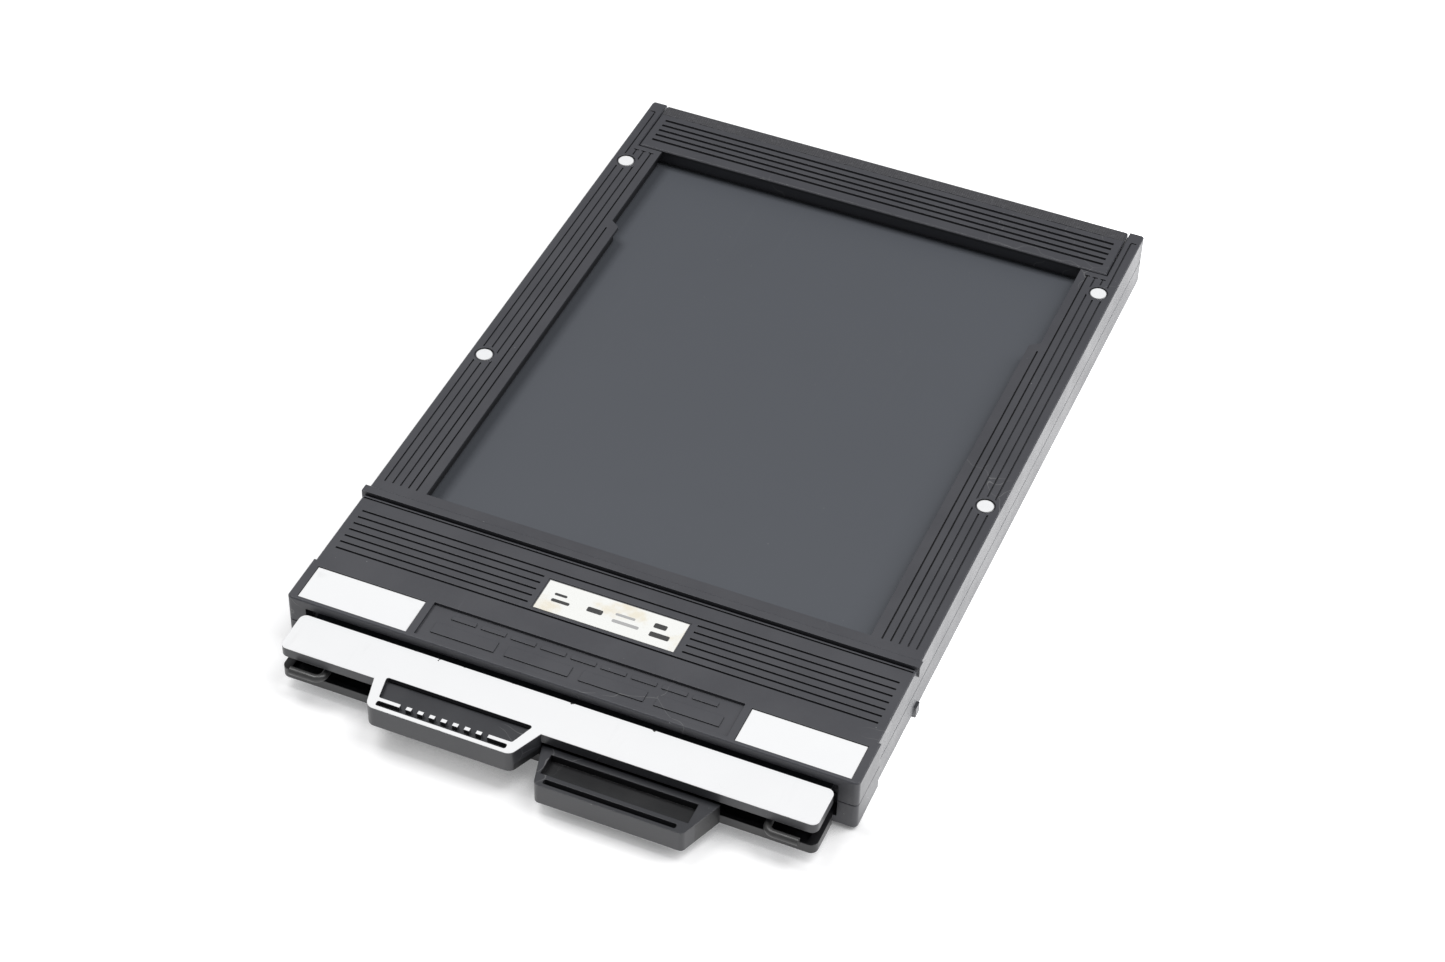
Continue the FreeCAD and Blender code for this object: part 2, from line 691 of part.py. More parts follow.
def make_slide_plate(half):
    """Thin opaque sheet that covers the film."""
    body = new_body(f"{half}_slide_plate", half)
    pad(body, "sheet", "slide_low", "slide_high", [
        centred("slide_half_width", along("slide_front"), along("slide_tip")),
    ])
    round_uprights(body, "tip_corners", [
        ("slide_half_width", along("slide_tip")), ("-slide_half_width", along("slide_tip")),
    ], "slide_corner")
    return body


def make_handle(half):
    """Moulded handle: a bar on the outer side of the plate and a thicker finger tab."""
    body = new_body(f"{half}_slide_handle", half)
    front = along("handle_front")
    root = f"{front} + tab_overlap"
    tab_front = along(f"handle_front - {half}_tab_reach")
    pad(body, "bar", "slide_high", "handle_high", [handle_outline(half)])
    outer_root = f"{half}_tab_outer_root"
    pad(body, "tab", "tab_low", "slide_high", [[
        (outer_root, root), (outer_root, front), (f"{half}_tab_outer_front", tab_front),
        (f"{half}_tab_inner_front", tab_front), ("tab_inner_root", front), ("tab_inner_root", root),
    ]])
    round_handle(body, half)
    cut_tab_face(body, half, "face_recess_low", "handle_high")
    cut(body, "film_recess", "tab_low", "film_recess_high", [rectangle(
        "film_recess_outer", "film_recess_inner", f"{tab_front} + tab_lip", along("film_recess_back"),
    )])
    film_slot = rectangle(
        "film_slot_outer", "film_slot_inner",
        f"{tab_front} + film_slot_front", f"{tab_front} + film_slot_back",
    )
    cut(body, "film_slot", "tab_low", "film_slot_high", [film_slot])
    round_uprights(body, "film_slot_ends", film_slot, "lip_slot_corner")
    cut(body, "tray", "slide_high", "tray_high", [
        centred("tray_half_length", along("tray_front"), along("tray_back")),
    ])
    cut(body, "pin_holes", "slide_high", "pin_high", circles=[
        (x, along("pin_back"), "pin_radius") for x in PIN_PLACES
    ])
    return body


def make_facing(half):
    """Thin white facing stamped on the handle's outer face."""
    body = new_body(f"{half}_handle_facing", half)
    high = "handle_high + facing_thickness"
    pad(body, "facing", "handle_high", high, [handle_outline(half)])
    round_handle(body, half)
    cut_tab_face(body, half, "handle_high", high)
    return body


def cylinder(name, x, y, low, high, radius):
    item = doc.addObject("Part::Cylinder", name)
    item.setExpression("Radius", bind(radius))
    item.setExpression("Height", bind(f"({high}) - ({low})"))
    for axis, position in zip("xyz", (x, y, low)):
        item.setExpression(f"Placement.Base.{axis}", bind(position))
    return item


def make_pins(half):
    """Four pins that join the slide plate to its handle."""
    group = doc.addObject("Part::Compound", f"{half}_handle_pins")
    group.Label = f"{half}_handle_pins"
    group.Links = [
        cylinder(f"{half}_pin_{index}", x, along("pin_back"), "slide_low", "pin_high", "pin_radius")
        for index, x in enumerate(PIN_PLACES, start=1)
    ]
    place(group, half)
    return group


def drill_plate(body):
    """Holes for the pins in the slide plate."""
    cut(body, "pin_holes", "slide_low", "slide_high", circles=[
        (x, along("pin_back"), "pin_radius") for x in PIN_PLACES
    ])


def make_rivets():
    """Four rivets through both shells, each a shank with a flat head at either end."""
    seat = "half_thickness - rivet_recess_depth"
    head_top = "half_thickness - rivet_head_sunk"
    rivets = []
    for index, (x, y, _) in enumerate(four_rivets("rivet_head"), start=1):
        rivet = doc.addObject("Part::MultiFuse", f"rivet_{index}")
        rivet.Shapes = [
            cylinder(f"rivet_shank_{index}", x, y, f"-({seat})", seat, "rivet_shank"),
            cylinder(f"rivet_top_head_{index}", x, y, seat, head_top, "rivet_head"),
            cylinder(f"rivet_bottom_head_{index}", x, y, f"-({head_top})", f"-({seat})", "rivet_head"),
        ]
        rivets.append(rivet)
    group = doc.addObject("Part::Compound", "frame_rivets")
    group.Label = "frame_rivets"
    group.Links = rivets
    place(group, "upper")
    return group


# Loading flaps ---------------------------------------------------------------------------------

def make_flap(half):
    """Ribbed flap over the film's loading end, with a skirt that closes the end of the holder."""
    body = new_body(f"{half}_loading_flap", half)
    top = "half_thickness"
    pad(body, "cover", "flap_low", top, [centred("flap_half_width", along("flap_near"), along("flap_far"))])
    bevel_face(body, "face_bevel", top, "edge_bevel")
    pad(body, "skirt", "skirt_low", "flap_low", [
        centred("flap_half_width", along("skirt_near"), along("flap_far")),
    ])
    cut(body, "undercut", "flap_low", "undercut_high", [
        centred("flap_half_width", along("flap_near"), along("flap_near + undercut")),
    ])
    line = cut(body, "line", f"{top} - flap_line_depth", top, [centred(
        "flap_line_half",
        along("flap_line_first - flap_line_width / 2"), along("flap_line_first + flap_line_width / 2"),
    )])
    repeat(body, "lines", line, "Y_Axis", "groove_pitch", "groove_count")
    cut(body, "tape_rebate_cut", f"{top} - tape_rebate", top, [
        centred("flap_half_width + 1", along("tape_near"), along("flap_far + 1")),
    ])
    return body


def make_tape(half):
    """Hinge tape: a strip on the flap's top that folds down over its end."""
    body = new_body(f"{half}_hinge_tape", half)
    inner_top = "half_thickness - tape_rebate"
    pad(body, "tape", "-tape_half_width", "tape_half_width", [[
        (along("tape_near"), inner_top), (along("flap_far"), inner_top), (along("flap_far"), "tape_low"),
        (along("tape_far"), "tape_low"), (along("tape_far"), "tape_high"), (along("tape_near"), "tape_high"),
    ]], plane="YZ_Plane")
    return body


# Latches ---------------------------------------------------------------------------------------

def latch_path(body):
    """Centre line of a latch: out of the shells along -Y, then round the elbow and outwards."""
    path = new_sketch(body, "path", "XY_Plane", "0")
    turn_y = "latch_elbow + latch_bend"
    corners = (
        ("latch_x", along("latch_back")), ("latch_x", along(turn_y)),
        ("latch_x + latch_bend", along("latch_elbow")), ("latch_x + latch_reach", along("latch_elbow")),
    )
    inner_end, bend_start, bend_end, tip = [FreeCAD.Vector(value(x), value(y), 0) for x, y in corners]
    centre = FreeCAD.Vector(bend_end.x, bend_start.y, 0)
    circle = Part.Circle(centre, FreeCAD.Vector(0, 0, 1), value("latch_bend"))
    quarter = Part.ArcOfCircle(circle, math.pi, 1.5 * math.pi)
    shaft = Part.LineSegment(inner_end, bend_start)
    arm = Part.LineSegment(bend_end, tip)
    path.addGeometry([shaft, quarter, arm], False)
    path.addConstraint([
        Sketcher.Constraint("Coincident", 0, 2, 1, 1), Sketcher.Constraint("Coincident", 1, 2, 2, 1),
    ])
    for (element, point), (x, y) in zip(((0, 1), (0, 2), (2, 1), (2, 2)), corners):
        hold(path, "DistanceX", element, point, x)
        hold(path, "DistanceY", element, point, y)
    index = path.addConstraint(Sketcher.Constraint("Radius", 1, value("latch_bend")))
    path.setExpression(f"Constraints[{index}]", bind("latch_bend"))
    return path


def make_latch(side):
    """L-shaped turning latch. Its collar keeps it in the shells."""
    body = new_body(f"{side}_latch", "upper" if side == "right" else "lower")
    path = latch_path(body)
    section = new_sketch(body, "section", "XZ_Plane", along("latch_back"))
    add_circle(section, "latch_x", "0", "latch_radius")
    wire = body.newObject("PartDesign::AdditivePipe", "wire")
    wire.Profile = section
    wire.Spine = (path, ["Edge1", "Edge2", "Edge3"])
    pad(body, "collar", along("collar_near"), along("collar_far"),
        circles=[("latch_x", "0", "collar_radius")], plane="XZ_Plane")
    return body


# Whole holder ----------------------------------------------------------------------------------

def make_all():
    pieces = [make_septum(), make_rivets()]
    for half in HALVES:
        plate = make_slide_plate(half)
        drill_plate(plate)
        pieces += [
            make_shell(half), make_velvet(half), make_spring(half), make_sticker(half), plate,
            make_handle(half), make_facing(half), make_pins(half), make_flap(half), make_tape(half),
        ]
        for side in ("left", "right"):
            pieces += [make_film_guide(half, side), make_label(half, side)]
    pieces += [make_latch(side) for side in ("left", "right")]
    return pieces


def check_document(pieces):
    """Stop if any feature failed, any cut removed nothing, or any shape is empty or broken."""
    for item in doc.Objects:
        if "Invalid" in item.State or "Error" in item.State:
            raise RuntimeError(f"{item.Name} failed: {item.State}")
        if item.TypeId == "PartDesign::Pocket" and item.Shape.Volume > item.BaseFeature.Shape.Volume - CLOSE:
            raise RuntimeError(f"{item.Name} cuts nothing")
    for piece in pieces:
        if piece.Shape.isNull() or not piece.Shape.isValid():
            raise RuntimeError(f"{piece.Label} has no valid shape")


def write_pieces(pieces):
    os.makedirs("parts", exist_ok=True)
    for piece in pieces:
        piece.Shape.exportStep(f"parts/{piece.Label}.step")
        print(f"{piece.Label}: {len(piece.Shape.Solids)} solid(s), {piece.Shape.Volume:.1f} mm3")


all_pieces = make_all()
doc.recompute()
check_document(all_pieces)
write_pieces(all_pieces)
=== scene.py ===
import json
import math
import random

import bmesh
import bpy
from mathutils import Matrix, Vector


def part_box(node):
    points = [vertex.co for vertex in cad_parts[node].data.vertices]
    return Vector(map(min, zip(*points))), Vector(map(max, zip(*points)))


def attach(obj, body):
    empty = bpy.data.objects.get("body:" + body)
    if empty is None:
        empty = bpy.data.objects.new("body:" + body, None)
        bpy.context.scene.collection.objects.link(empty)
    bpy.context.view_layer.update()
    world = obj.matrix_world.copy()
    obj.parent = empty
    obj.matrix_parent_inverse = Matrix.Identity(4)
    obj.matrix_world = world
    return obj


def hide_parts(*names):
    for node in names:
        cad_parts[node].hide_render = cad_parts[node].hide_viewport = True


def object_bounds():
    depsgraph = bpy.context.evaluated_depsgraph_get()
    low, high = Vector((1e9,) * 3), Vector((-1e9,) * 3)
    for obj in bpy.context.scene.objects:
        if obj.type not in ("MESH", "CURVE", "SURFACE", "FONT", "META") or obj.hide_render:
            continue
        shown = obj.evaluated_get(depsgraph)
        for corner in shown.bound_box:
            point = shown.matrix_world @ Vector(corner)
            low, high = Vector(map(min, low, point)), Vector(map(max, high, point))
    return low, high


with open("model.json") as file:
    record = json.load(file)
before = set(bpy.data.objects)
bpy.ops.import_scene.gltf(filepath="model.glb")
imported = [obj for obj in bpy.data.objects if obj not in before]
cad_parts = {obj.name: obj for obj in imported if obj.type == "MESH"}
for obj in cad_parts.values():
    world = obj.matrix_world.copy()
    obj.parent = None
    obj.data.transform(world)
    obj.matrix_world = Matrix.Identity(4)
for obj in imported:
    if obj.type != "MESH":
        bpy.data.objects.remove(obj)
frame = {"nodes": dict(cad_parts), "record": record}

MM = 0.001
CAD_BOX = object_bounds()
LOW, HIGH = CAD_BOX
NODES = frame["nodes"]
SLOT_OF = {part["node"]: part["material_slot"] for part in frame["record"]["subparts"]}
HALVES = ("upper", "lower")

# Camera: where it stands round the point it looks at, which is given from the centre of the CAD box.
CAMERA_AZIMUTH = math.radians(21.85)
CAMERA_ELEVATION = math.radians(43.51)
CAMERA_ROLL = math.radians(1.67)
CAMERA_DISTANCE = 0.6617
CAMERA_LENS = 80.75
CAMERA_SENSOR = 36.0
LOOK_FROM_CENTRE = Vector((4.94, -13.11, 6.3)) * MM

# Plain bars on the size sticker, as parts of its length and depth: start, end, near, far.
STICKER_BARS = (
    (0.79, 0.93, 0.26, 0.42), (0.79, 0.88, 0.56, 0.72), (0.33, 0.44, 0.40, 0.56), (0.08, 0.21, 0.36, 0.46),
    (0.08, 0.17, 0.58, 0.66),
)
STICKER_FADED_BARS = ((0.52, 0.71, 0.32, 0.42), (0.52, 0.66, 0.56, 0.64))
PRINT_THICKNESS = 0.015 * MM
PRINT_CORNER = 0.3 * MM

# Hinge tape: its mesh across its length, its uneven free edge, and its fold over the flap's end.
TAPE_COLUMNS = 280
TAPE_SET_BACK = 0.12 * MM
TAPE_FOLD = 0.12 * MM
TAPE_SEAT = 0.2 * MM
TAPE_EDGE_RUN = 0.03 * MM
TAPE_EDGE_DROP = 0.02 * MM

# Boxes of painted shade on the black plastic: the windows' walls, as distances from the shell's sides, from
# its handle end, past the flap's near edge and from the lock ribs' tops; and the lower tab's recess, as
# distances behind the tab's front and below its top.
WALLS_SIDE, WALLS_START, WALLS_END, WALLS_DEPTH = 7 * MM, 36 * MM, 0.3 * MM, 1.1 * MM
RECESS_START, RECESS_DEPTH = 3.1 * MM, 0.35 * MM

# Two whites that a slow noise mixes, on the facing and on the labels.
WHITE_TONES = ((0.85, 0.855, 0.865, 1.0), (0.87, 0.875, 0.88, 1.0))

# Floor: its own glow in the open, how near the holder has to be to dim it, and where the stronger glow at
# the right begins, across the holder and behind its handle end.
FLOOR_HALF_SIDE = 3.0
FLOOR_REACH = 10 * MM
FLOOR_GLOW = 0.52
RIGHT_GLOW = 1.30
RIGHT_GLOW_FROM, RIGHT_GLOW_FULL, RIGHT_GLOW_BEHIND = 30 * MM, 60 * MM, 12 * MM

# Softboxes: name, place in metres, side in metres and power in watts.
SOFTBOXES = (
    ("top_left_softbox", (-0.55, 0.10, 1.5), 0.7, 11.4),
    ("top_right_softbox", (0.55, 0.10, 1.5), 0.7, 11.4),
    ("right_softbox", (1.1, 0.3, 1.1), 0.8, 5.0),
)
WORLD_COLOR = (0.98, 0.985, 1.0, 1.0)
WORLD_STRENGTH = 0.18


# Node graphs ---------------------------------------------------------------------------------

class Graph:
    """A material's node tree, with short ways to add nodes and to mix values."""

    def __init__(self, name):
        self.material = bpy.data.materials.new(name)
        self.material.use_nodes = True
        self.tree = self.material.node_tree
        self.tree.nodes.clear()
        self.place = self.add("TexCoord").outputs["Object"]

    def add(self, kind, inputs=None, **settings):
        node = self.tree.nodes.new("ShaderNode" + kind)
        for name, setting in settings.items():
            setattr(node, name, setting)
        for name, source in (inputs or {}).items():
            self.feed(node.inputs[name], source)
        return node

    def feed(self, socket, source):
        if isinstance(source, bpy.types.NodeSocket):
            self.tree.links.new(source, socket)
        else:
            socket.default_value = source

    def stretched(self, factors):
        """Object coordinates scaled along each axis, for streaks."""
        return self.add("Mapping", {"Vector": self.place, "Scale": factors}).outputs["Vector"]

    def noise(self, scale, detail=2.0, roughness=0.5, place=None):
        node = self.add("TexNoise", {
            "Vector": place or self.place, "Scale": scale, "Detail": detail, "Roughness": roughness,
        })
        return node.outputs["Fac"]

    def cells(self, scale, feature="F1", place=None):
        node = self.add("TexVoronoi", {"Vector": place or self.place, "Scale": scale}, feature=feature)
        return node.outputs["Distance"]

    def remap(self, source, low, high, to_low=0.0, to_high=1.0):
        node = self.add("MapRange", {
            "Value": source, "From Min": low, "From Max": high, "To Min": to_low, "To Max": to_high,
        }, interpolation_type="SMOOTHSTEP")
        return node.outputs["Result"]

    def math(self, operation, first, second=0.0):
        node = self.add("Math", operation=operation)
        self.feed(node.inputs[0], first)
        self.feed(node.inputs[1], second)
        return node.outputs[0]

    def mix(self, amount, first, second):
        """Colour mix, from first to second. A Mix node's colour sockets are its inputs 6 and 7."""
        node = self.add("Mix", data_type="RGBA")
        self.feed(node.inputs[0], amount)
        self.feed(node.inputs[6], first)
        self.feed(node.inputs[7], second)
        return node.outputs[2]

    def wash(self, color, toward, mask, amount):
        """Colour carried by an amount toward another one, where the mask is 1."""
        return self.mix(self.math("MULTIPLY", mask, amount), color, toward)

    def bump(self, height, distance, strength, normal=None):
        inputs = {"Height": height, "Distance": distance, "Strength": strength}
        if normal is not None:
            inputs["Normal"] = normal
        return self.add("Bump", inputs).outputs["Normal"]

    def soft_edge(self, radius):
        """Normal that is rounded over every sharp edge, and a mask that is 1 on those edges.

        The mask begins where the two normals part by 4 degrees and is full at 32 degrees.
        """
        rounded = self.add("Bevel", {"Radius": radius}, samples=6).outputs["Normal"]
        flat = self.add("NewGeometry").outputs["Normal"]
        same = self.add("VectorMath", operation="DOT_PRODUCT")
        self.feed(same.inputs[0], rounded)
        self.feed(same.inputs[1], flat)
        return rounded, self.remap(same.outputs["Value"], 0.998, 0.85)

    def openness(self, reach, own=True):
        """How open a point is to what lies within reach: 1 in the open, 0 in a closed corner."""
        return self.add("AmbientOcclusion", {"Distance": reach}, samples=4, only_local=own).outputs["AO"]

    def painted_crevice_shade(self, reach):
        """Mask that is 1 deep in a piece's own grooves and corners, where painted shade darkens them."""
        return self.remap(self.openness(reach), 0.62, 0.12)

    def inside(self, low, high, blur=0.1 * MM):
        """Mask that is 1 inside a box of the row frame."""
        place = self.add("SeparateXYZ", {"Vector": self.place})
        mask = 1.0
        for axis, first, last in zip("XYZ", low, high):
            mask = self.math("MULTIPLY", self.remap(place.outputs[axis], first - blur, first + blur), mask)
            mask = self.math("MULTIPLY", self.remap(place.outputs[axis], last + blur, last - blur), mask)
        return mask

    def dust(self, scale):
        """Sparse round specks."""
        specks = self.remap(self.cells(scale), 0.045, 0.02)
        return self.math("MULTIPLY", specks, self.remap(self.noise(scale / 6, 1.0), 0.55, 0.62))

    def scratches(self, scale, width):
        """Sparse hairlines: parts of the borders between large cells."""
        bent = self.add("TexNoise", {"Vector": self.place, "Scale": scale * 1.7}).outputs["Color"]
        place = self.add("Mix", {"Factor": 0.02}, data_type="RGBA")
        self.feed(place.inputs[6], self.place)
        self.feed(place.inputs[7], bent)
        line = self.remap(self.cells(scale, "DISTANCE_TO_EDGE", place.outputs[2]), width, width / 3)
        return self.math("MULTIPLY", line, self.remap(self.noise(scale * 0.8, 1.0), 0.60, 0.68))

    def surface(self, color, roughness, normal, **others):
        """Principled surface. Values that are the same all over are set on its own sockets."""
        shader = self.add("BsdfPrincipled", {"Base Color": color, "Roughness": roughness, "Normal": normal})
        for name, source in others.items():
            self.feed(shader.inputs[name.replace("_", " ")], source)
        output = self.add("OutputMaterial")
        self.tree.links.new(shader.outputs[0], output.inputs["Surface"])
        return self.material


def gray(level, warm=0.0):
    return (level * (1 + warm), level, level * (1 - warm), 1.0)


def scaled(tone, factor):
    return tuple(part * factor for part in tone[:3]) + (1.0,)


# Materials -----------------------------------------------------------------------------------

def moulded_plastic(name, tone, roughness, grain, painted_shade_box):
    """Black moulded plastic: fine grain, faint flow marks, hairline scratches, dust and paler worn edges.

    Painted shade darkens the piece's own grooves and corners, and, inside the painted shade box, every face
    that does not look down, to deep black.
    """
    graph = Graph(name)
    rounded, edge = graph.soft_edge(0.14 * MM)
    flow = graph.noise(90.0, 3.0)
    mottle = graph.noise(900.0, 3.0, 0.6)
    fine = graph.noise(5200.0, 2.0, 0.6)
    scuffs = graph.remap(graph.noise(260.0, 4.0, 0.7, graph.stretched((1.0, 0.08, 1.0))), 0.66, 0.8)
    color = graph.mix(flow, scaled(tone, 0.92), scaled(tone, 1.08))
    color = graph.mix(mottle, color, scaled(tone, 1.12))
    color = graph.wash(color, scaled(tone, 2.6), edge, 0.30)
    color = graph.wash(color, scaled(tone, 2.2), scuffs, 0.16)
    color = graph.wash(color, gray(0.22), graph.scratches(46.0, 0.0035), 0.5)
    color = graph.wash(color, gray(0.5), graph.dust(420.0), 0.6)
    # Painted shade in the piece's own grooves and corners, from how closed in they are.
    color = graph.wash(color, scaled(tone, 0.12), graph.painted_crevice_shade(2.5 * MM), 0.6)
    # Painted shade inside the box, on faces that do not look down.
    upright = graph.add("SeparateXYZ", {"Vector": graph.add("NewGeometry").outputs["Normal"]}).outputs["Z"]
    painted_shade = graph.math("MULTIPLY", graph.inside(*painted_shade_box), graph.remap(upright, -0.6, -0.3))
    color = graph.wash(color, scaled(tone, 0.05), painted_shade, 0.8)
    rough = graph.remap(flow, 0.3, 0.7, roughness - 0.03, roughness + 0.04)
    rough = graph.math("ADD", rough, graph.math("MULTIPLY", scuffs, 0.10))
    normal = graph.bump(fine, grain, 0.6, rounded)
    return graph.surface(color, rough, normal, IOR=1.6)


def slide_sheet(name):
    """Smooth satin sheet with faint hand smudges, hairline rubs along its travel and dust."""
    graph = Graph(name)
    rounded, edge = graph.soft_edge(0.12 * MM)
    smudge = graph.remap(graph.noise(22.0, 3.0, 0.55), 0.52, 0.74)
    rubs = graph.remap(graph.noise(900.0, 3.0, 0.6, graph.stretched((1.0, 0.02, 1.0))), 0.6, 0.85)
    fine = graph.noise(4200.0, 2.0)
    tone = (0.076, 0.0825, 0.0955, 1.0)
    color = graph.mix(graph.noise(14.0, 2.0), scaled(tone, 0.96), scaled(tone, 1.04))
    color = graph.wash(color, scaled(tone, 0.75), smudge, 0.22)
    color = graph.wash(color, scaled(tone, 1.5), rubs, 0.12)
    color = graph.wash(color, scaled(tone, 2.0), edge, 0.3)
    color = graph.wash(color, gray(0.35), graph.dust(330.0), 0.4)
    rough = graph.math("ADD", graph.remap(smudge, 0.0, 1.0, 0.50, 0.56), graph.math("MULTIPLY", rubs, 0.03))
    normal = graph.bump(fine, 0.004 * MM, 0.5, rounded)
    return graph.surface(color, rough, normal, IOR=1.5)


def white_facing(name):
    """White stamped facing: faint grey rubs, and chips in its back edge where the plastic shows."""
    graph = Graph(name)
    rounded, edge = graph.soft_edge(0.12 * MM)
    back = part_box("upper_handle_facing")[1].y
    along_y = graph.add("SeparateXYZ", {"Vector": graph.place}).outputs["Y"]
    reach = graph.remap(graph.noise(340.0, 3.0, 0.65), 0.60, 0.82, 0.0, 1.1 * MM)
    chips = graph.math("GREATER_THAN", graph.math("ADD", along_y, reach), back - 0.02 * MM)
    nicks = graph.math("MULTIPLY", edge, graph.remap(graph.noise(760.0, 3.0, 0.6), 0.62, 0.68))
    rubs = graph.remap(graph.noise(240.0, 4.0, 0.7, graph.stretched((1.0, 0.12, 1.0))), 0.62, 0.8)
    tint = graph.mix(graph.noise(40.0, 2.0), *WHITE_TONES)
    color = graph.mix(graph.math("MULTIPLY", rubs, 0.10), tint, gray(0.5))
    color = graph.wash(color, gray(0.35), graph.scratches(70.0, 0.003), 0.4)
    color = graph.wash(color, gray(0.25), graph.dust(520.0), 0.5)
    color = graph.mix(graph.math("MAXIMUM", chips, nicks), color, gray(0.05))
    rough = graph.remap(graph.noise(150.0, 2.0), 0.3, 0.7, 0.34, 0.44)
    normal = graph.bump(graph.noise(2600.0, 2.0), 0.006 * MM, 0.4, rounded)
    return graph.surface(color, rough, normal, IOR=1.47)


def writing_label(name):
    """Matt white label with faint pencil smears and a slightly soiled edge."""
    graph = Graph(name)
    rounded, edge = graph.soft_edge(0.2 * MM)
    smear = graph.remap(graph.noise(190.0, 2.0, 0.5), 0.60, 0.8)
    rubbed = graph.remap(graph.noise(60.0, 2.0), 0.5, 0.7)
    color = graph.mix(graph.noise(50.0, 2.0), *WHITE_TONES)
    color = graph.wash(color, gray(0.45), graph.math("MULTIPLY", smear, rubbed), 0.35)
    color = graph.wash(color, gray(0.4), graph.scratches(95.0, 0.010), 0.16)
    color = graph.wash(color, gray(0.42, 0.10), edge, 0.35)
    normal = graph.bump(graph.noise(3200.0, 3.0), 0.01 * MM, 0.5, rounded)
    rough = graph.remap(graph.noise(400.0, 2.0), 0.3, 0.7, 0.55, 0.66)
    return graph.surface(color, rough, normal)


def aged_sticker(name):
    """Cream sticker with yellowed stains, fine speckle and a soiled edge."""
    graph = Graph(name)
    rounded, edge = graph.soft_edge(0.2 * MM)
    stain = graph.remap(graph.noise(170.0, 3.0, 0.6), 0.50, 0.72)
    speckle = graph.remap(graph.noise(1500.0, 2.0, 0.6), 0.6, 0.75)
    color = graph.mix(stain, (0.875, 0.88, 0.855, 1.0), (0.81, 0.76, 0.64, 1.0))
    color = graph.wash(color, (0.55, 0.52, 0.42, 1.0), speckle, 0.15)
    color = graph.wash(color, (0.36, 0.32, 0.24, 1.0), edge, 0.4)
    normal = graph.bump(graph.noise(500.0, 3.0), 0.02 * MM, 0.4, rounded)
    rough = graph.remap(stain, 0.0, 1.0, 0.42, 0.55)
    return graph.surface(color, rough, normal)


def print_ink(name, level):
    """Printed ink, rubbed thin in places."""
    graph = Graph(name)
    worn = graph.remap(graph.noise(900.0, 3.0, 0.6), 0.6, 0.75)
    color = graph.wash(gray(level), gray(level + 0.25, 0.08), worn, 0.35)
    normal = graph.bump(graph.noise(2000.0, 2.0), 0.004 * MM, 0.4)
    return graph.surface(color, 0.45, normal)


def rivet_white(name):
    """White rivet heads whose rim is darkened by grime and painted shade."""
    graph = Graph(name)
    rounded, edge = graph.soft_edge(0.3 * MM)
    color = graph.mix(graph.noise(700.0, 2.0), gray(0.80, -0.01), gray(0.85, -0.01))
    # Darker rim: grime and painted shade.
    color = graph.wash(color, gray(0.36, 0.04), edge, 0.35)
    normal = graph.bump(graph.noise(2400.0, 2.0), 0.008 * MM, 0.4, rounded)
    rough = graph.remap(graph.noise(600.0, 2.0), 0.3, 0.7, 0.38, 0.48)
    return graph.surface(color, rough, normal)


def painted_metal(name, level, roughness):
    """Black-coated metal, rubbed through to bare metal on its edges."""
    graph = Graph(name)
    rounded, edge = graph.soft_edge(0.1 * MM)
    rub = graph.math("MULTIPLY", edge, graph.remap(graph.noise(800.0, 3.0, 0.6), 0.5, 0.7))
    color = graph.mix(graph.noise(300.0, 2.0), gray(level * 0.85), gray(level * 1.2))
    color = graph.wash(color, gray(0.32), rub, 0.6)
    rough = graph.remap(graph.noise(500.0, 3.0), 0.3, 0.7, roughness - 0.06, roughness + 0.06)
    normal = graph.bump(graph.noise(2600.0, 2.0), 0.006 * MM, 0.5, rounded)
    return graph.surface(color, rough, normal, IOR=1.5)


def bare_steel(name, level, roughness):
    """Drawn steel with fine lines along its length."""
    graph = Graph(name)
    rounded = graph.soft_edge(0.06 * MM)[0]
    lines = graph.noise(5000.0, 3.0, 0.6, graph.stretched((0.03, 1.0, 1.0)))
    color = graph.mix(lines, gray(level * 0.85), gray(level * 1.1))
    rough = graph.remap(lines, 0.3, 0.7, roughness - 0.05, roughness + 0.08)
    normal = graph.bump(lines, 0.002 * MM, 0.4, rounded)
    return graph.surface(color, rough, normal, Metallic=1.0)


def velvet(name):
    """Black pile, with painted shade in its depth, and soft at its tips."""
    graph = Graph(name)
    pile = graph.cells(3600.0)
    nap = graph.noise(500.0, 3.0)
    # Painted shade in the pile's depth.
    color = graph.mix(pile, gray(0.006), gray(0.022))
    color = graph.wash(color, gray(0.03), nap, 0.3)
    normal = graph.bump(pile, 0.12 * MM, 0.8)
    return graph.surface(color, 0.95, normal, Sheen_Weight=0.5, Sheen_Roughness=0.4)


def cloth_tape(name):
    """Black cloth tape: plain weave, a few pale threads, worn paler along its free edge."""
    graph = Graph(name)
    threads = {"Vector": graph.place, "Scale": 620.0, "Distortion": 0.6}
    warp, weft = (graph.add("TexWave", threads, bands_direction=axis).outputs["Fac"] for axis in "XY")
    weave = graph.math("MULTIPLY", warp, weft)
    fray = graph.remap(graph.noise(1400.0, 4.0, 0.7), 0.62, 0.78)
    rounded, edge = graph.soft_edge(0.12 * MM)
    speckle = graph.remap(graph.noise(1900.0, 3.0, 0.65), 0.48, 0.75)
    color = graph.mix(weave, (0.033, 0.033, 0.037, 1.0), (0.066, 0.066, 0.074, 1.0))
    color = graph.wash(color, (0.11, 0.11, 0.12, 1.0), speckle, 0.5)
    color = graph.wash(color, (0.28, 0.28, 0.30, 1.0), fray, graph.math("ADD", edge, 0.15))
    normal = graph.bump(weave, 0.03 * MM, 0.6, rounded)
    return graph.surface(color, 0.72, normal, Sheen_Weight=0.15)


